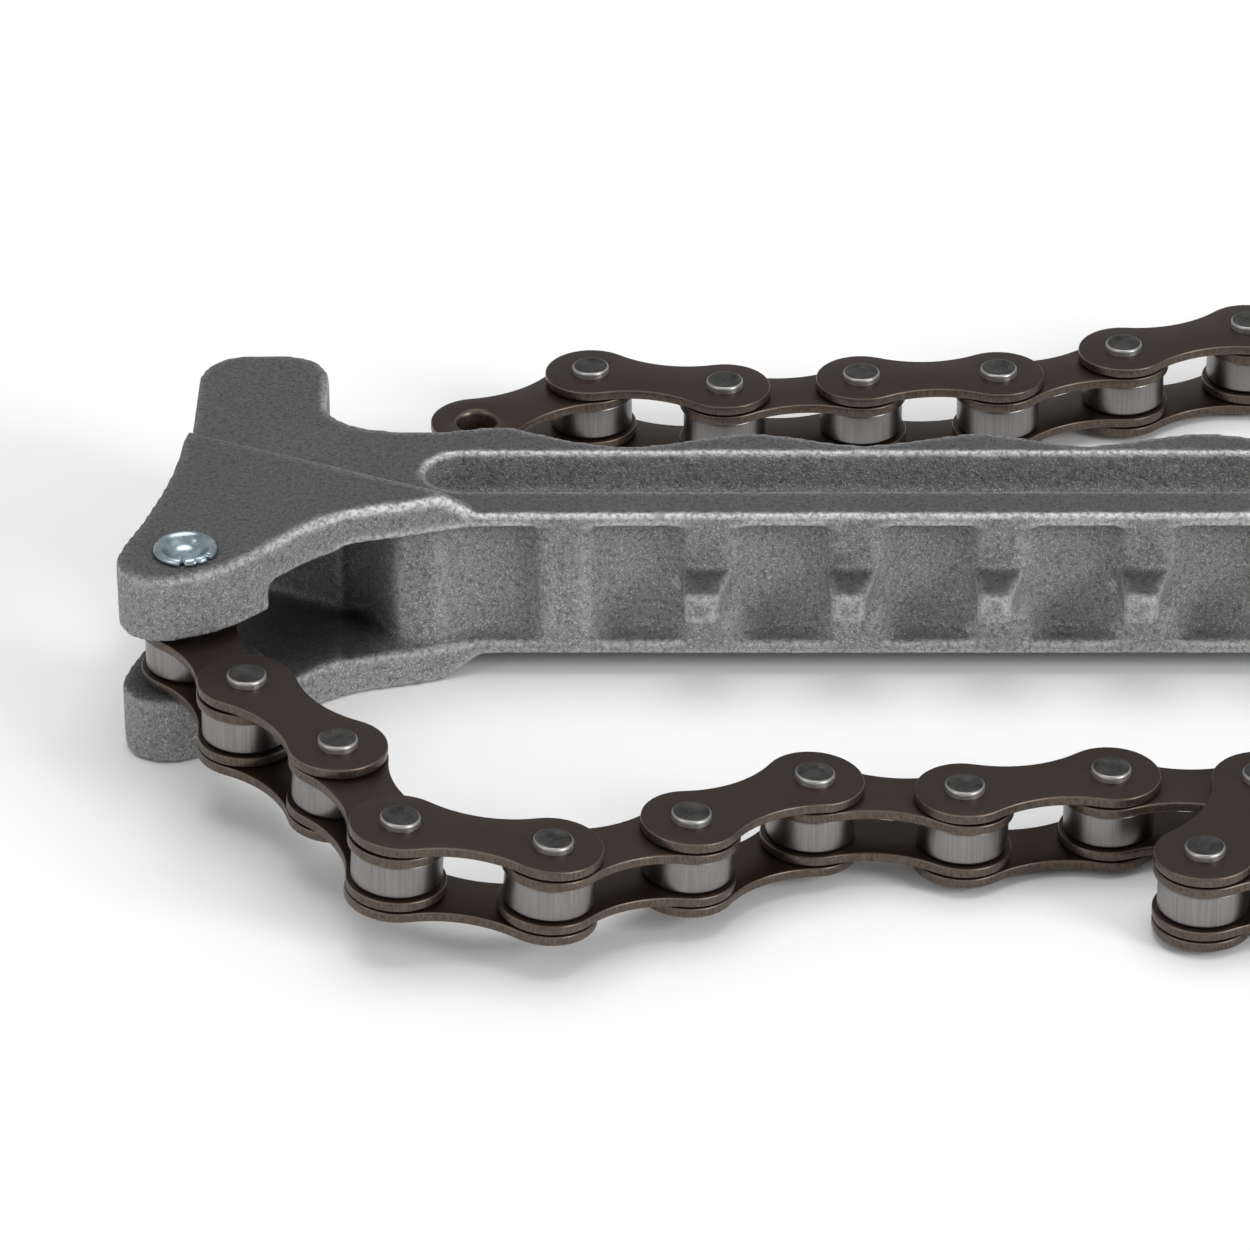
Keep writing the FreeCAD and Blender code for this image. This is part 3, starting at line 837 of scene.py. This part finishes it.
def shared_material(name):
    """The one material of a finish, made at its first use. The frame's plain one gives up its name."""
    makers = {"brown_plate": plate_material, "roller_steel": roller_material, "pin_steel": pin_material}
    found = bpy.data.materials.get(name)
    if found is None or "dressed" not in found:
        if found is not None:
            found.name = name + "_plain"
        found = makers[name](bpy.context.scene.wrench_colours)
        found["dressed"] = True
    return found


# Stage

CAMERA_TARGET = Vector((37.4, -6.67, 9.2)) * MM
CAMERA_DISTANCE = 589.6 * MM
CAMERA_ELEVATION = math.radians(30.86)
CAMERA_YAW = math.radians(-1.01)
CAMERA_ROLL = math.radians(-0.53)
CAMERA_LENS = 196.7
CAMERA_SENSOR = 36
FLOOR_HALF = 6.0
FLOOR_GAP = 0.02 * MM           # between the floor and the lowest piece
WORLD_STRENGTH = 0.5
# Each lamp's name, its place from the wrench's middle and its size in metres, and its power in watts
LAMPS = (
    ("key_lamp", (0.85, -0.60, 0.50), 0.45, 6.0),
    ("fill_lamp", (-0.75, -0.55, 0.60), 0.5, 1.3),
    ("top_lamp", (0.0, 0.1, 1.1), 0.9, 5.0),
)


class WRENCH_OT_stage(bpy.types.Operator):
    """Set the pale floor, the soft lamps and the camera"""

    bl_idname = "wrench.stage"
    bl_label = "Stage"

    def execute(self, context):
        self.camera(context)
        self.floor(context)
        self.lamps(context)
        self.world(context)
        context.scene.view_settings.view_transform = "Standard"
        return {"FINISHED"}

    @staticmethod
    def camera(context):
        data = bpy.data.cameras.new("camera")
        data.lens = CAMERA_LENS
        data.sensor_width = CAMERA_SENSOR
        data.clip_start = 0.01
        data.clip_end = 50
        ahead = Vector((
            math.sin(CAMERA_YAW) * math.cos(CAMERA_ELEVATION),
            math.cos(CAMERA_YAW) * math.cos(CAMERA_ELEVATION),
            -math.sin(CAMERA_ELEVATION),
        ))
        right = Vector((math.cos(CAMERA_YAW), -math.sin(CAMERA_YAW), 0))
        up = right.cross(ahead)
        level = Matrix((right, up, -ahead)).transposed()
        turn = level @ Matrix.Rotation(CAMERA_ROLL, 3, "Z")
        camera = bpy.data.objects.new("camera", data)
        camera.matrix_world = Matrix.Translation(CAMERA_TARGET - ahead * CAMERA_DISTANCE) @ turn.to_4x4()
        context.scene.collection.objects.link(camera)
        context.scene.camera = camera

    @staticmethod
    def floor(context):
        bm = bmesh.new()
        bmesh.ops.create_grid(bm, x_segments=1, y_segments=1, size=FLOOR_HALF)
        mesh = bpy.data.meshes.new("floor")
        bm.to_mesh(mesh)
        bm.free()
        floor = bpy.data.objects.new("floor", mesh)
        floor.location.z = CAD_BOX[0].z - FLOOR_GAP
        context.scene.collection.objects.link(floor)
        material, _, _, shader = new_material("floor_paper")
        shader.inputs["Base Color"].default_value = (*context.scene.wrench_colours.floor, 1)
        shader.inputs["Roughness"].default_value = 0.9
        shader.inputs["Specular IOR Level"].default_value = 0.1
        mesh.materials.append(material)

    @staticmethod
    def lamps(context):
        centre = (CAD_BOX[0] + CAD_BOX[1]) / 2
        for name, offset, size, power in LAMPS:
            data = bpy.data.lights.new(name, "AREA")
            data.shape = "DISK"
            data.size = size
            data.energy = power
            lamp = bpy.data.objects.new(name, data)
            lamp.location = centre + Vector(offset)
            lamp.rotation_euler = (-Vector(offset)).to_track_quat("-Z", "Y").to_euler()
            context.scene.collection.objects.link(lamp)

    @staticmethod
    def world(context):
        world = bpy.data.worlds.new("studio")
        world.use_nodes = True
        background = world.node_tree.nodes["Background"]
        background.inputs["Color"].default_value = (1, 1, 1, 1)
        background.inputs["Strength"].default_value = WORLD_STRENGTH
        context.scene.world = world


class WRENCH_PT_panel(bpy.types.Panel):
    """The wrench's pieces, in the order in which they are made"""

    bl_label = "Chain wrench"
    bl_idname = "WRENCH_PT_panel"
    bl_space_type = "VIEW_3D"
    bl_region_type = "UI"
    bl_category = "Wrench"

    def draw(self, context):
        for operator in OPERATORS:
            self.layout.operator(operator.bl_idname)
        for group in ("wrench_chain", "wrench_casting", "wrench_colours"):
            settings = getattr(context.scene, group)
            for name in settings.bl_rna.properties.keys():
                if name not in ("rna_type", "name"):
                    self.layout.prop(settings, name)


OPERATORS = (
    WRENCH_OT_stage,
    WRENCH_OT_casting,
    WRENCH_OT_rivet,
    WRENCH_OT_inner_plates,
    WRENCH_OT_rollers,
    WRENCH_OT_outer_plates,
    WRENCH_OT_pins,
)
CLASSES = (ChainSettings, CastingSettings, ColourSettings) + OPERATORS + (WRENCH_PT_panel,)


def register():
    for item in CLASSES:
        bpy.utils.register_class(item)
    bpy.types.Scene.wrench_chain = PointerProperty(type=ChainSettings)
    bpy.types.Scene.wrench_casting = PointerProperty(type=CastingSettings)
    bpy.types.Scene.wrench_colours = PointerProperty(type=ColourSettings)


def unregister():
    del bpy.types.Scene.wrench_chain
    del bpy.types.Scene.wrench_casting
    del bpy.types.Scene.wrench_colours
    for item in reversed(CLASSES):
        bpy.utils.unregister_class(item)


def main():
    register()
    bpy.ops.wrench.stage()
    bpy.ops.wrench.casting()
    bpy.ops.wrench.rivet()
    bpy.ops.wrench.inner_plates()
    bpy.ops.wrench.rollers()
    bpy.ops.wrench.outer_plates()
    bpy.ops.wrench.pins()


if __name__ == "__main__":
    main()
